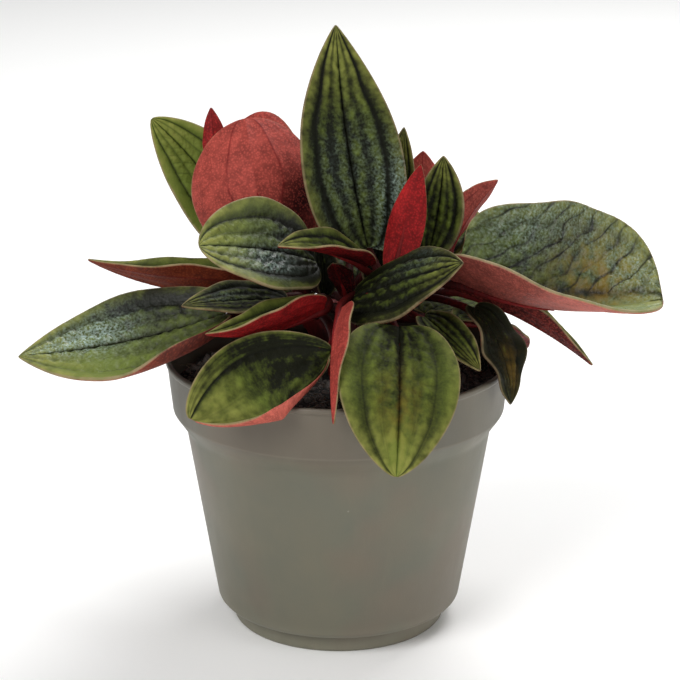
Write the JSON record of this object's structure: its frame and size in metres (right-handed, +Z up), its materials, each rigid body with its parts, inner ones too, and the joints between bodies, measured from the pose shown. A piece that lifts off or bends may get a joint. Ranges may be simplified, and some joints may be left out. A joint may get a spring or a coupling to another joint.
{
  "type": "potted peperomia",
  "caption": "Small foliage plant, a loose rosette of grooved, creased leaves on thin stalks, standing in soil in a round tapered nursery pot with a wide collar.",
  "frame": {"origin": "middle of the pot's foot, on the surface that the pot stands on", "axes": "+Z up along the pot's axis, -Y towards the front, where the tall leaf's upper side looks"},
  "size_m": [0.2167, 0.1612, 0.2101],
  "materials": {
    "pot": "satin",
    "soil": "matte",
    "stems": "satin",
    "leaf": "gloss"
  },
  "bodies": {
    "root": {"pot": "pot", "soil": "soil", "stems": "stems", "leaf_tall": "leaf", "leaf_behind_tall": "leaf", "leaf_back_left": "leaf", "leaf_bud_front": "leaf", "leaf_bud_back": "leaf", "leaf_bud_side": "leaf", "leaf_upright_green": "leaf", "leaf_upright_red": "leaf", "leaf_upright_pink": "leaf", "leaf_back_salmon": "leaf", "leaf_right_broad": "leaf", "leaf_mid_left": "leaf", "leaf_small_centre": "leaf", "leaf_long_upper": "leaf", "leaf_long_lower": "leaf", "leaf_centre_right": "leaf", "leaf_small_left": "leaf", "leaf_front_folded": "leaf", "leaf_right_narrow": "leaf", "leaf_front_edge": "leaf", "leaf_front_left": "leaf", "leaf_front_right": "leaf", "leaf_small_right": "leaf", "leaf_right_hanging": "leaf", "leaf_heart_left": "leaf", "leaf_heart_right": "leaf", "leaf_heart_front": "leaf", "leaf_behind_high": "leaf", "leaf_behind_high_left": "leaf", "leaf_behind_high_right": "leaf", "leaf_behind": "leaf", "leaf_behind_left": "leaf", "leaf_behind_right": "leaf", "leaf_behind_low_right": "leaf", "leaf_far_left": "leaf", "leaf_far_right": "leaf", "leaf_drooping_middle": "leaf", "leaf_drooping_left": "leaf", "leaf_drooping_right": "leaf"}
  },
  "joints": []
}
